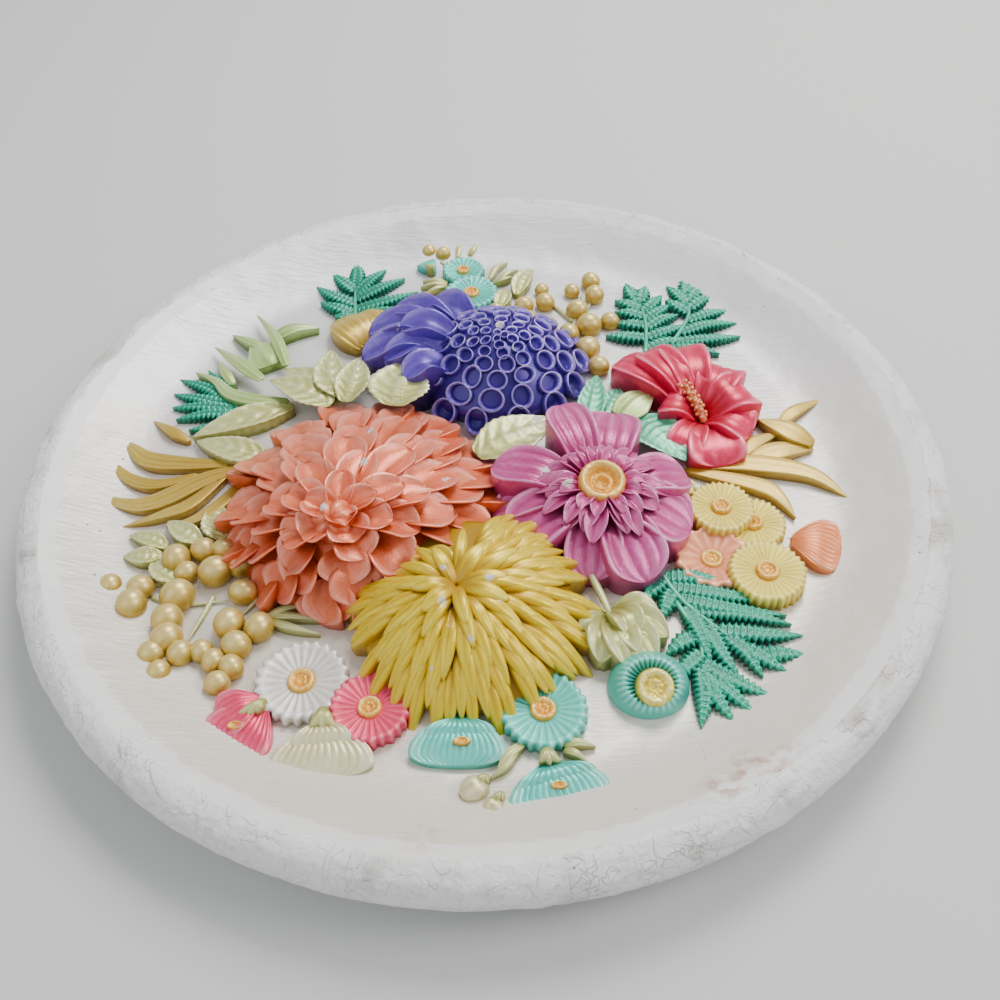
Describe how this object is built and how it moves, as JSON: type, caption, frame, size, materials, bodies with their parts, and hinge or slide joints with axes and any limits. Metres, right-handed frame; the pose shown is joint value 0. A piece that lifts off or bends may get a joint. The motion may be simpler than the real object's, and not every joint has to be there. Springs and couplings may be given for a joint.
{
  "type": "decorative wall plaque",
  "caption": "Round dished wall plaque of cast plaster with a rolled rough rim and a bouquet of flowers in high relief, painted in pearly colours.",
  "frame": {"origin": "centre of the flat back face, where it meets the wall", "axes": "+Z out of the wall, +Y to the top of the plaque as it hangs, +X to the right"},
  "size_m": [0.38, 0.38, 0.0465],
  "materials": {
    "plaster_rim": "bare chalky white plaster, pitted and rough",
    "pearl_ground": "pearl white paint with a soft sheen over brushed plaster",
    "pearl_coral": "pearl coral paint, orange in the recesses and pink on the ridges",
    "pearl_violet": "pearl violet paint with pale lilac ridges",
    "pearl_magenta": "pearl magenta pink paint",
    "pearl_red": "pearl red paint, rose on the ridges",
    "pearl_yellow": "pearl yellow paint, golden in the recesses",
    "pearl_gold": "pale gold pearl paint",
    "pearl_teal": "pearl sea green paint, mint on the ridges",
    "pearl_turquoise": "pearl turquoise paint",
    "pearl_leaf": "pearl olive and pale green paint with silvery ridges",
    "pearl_rose": "pearl rose pink paint",
    "pearl_white": "pearl white paint on raised petals",
    "pearl_peach": "pearl peach paint"
  },
  "bodies": {
    "root": {"plaque": "plaster_rim"}
  },
  "joints": []
}
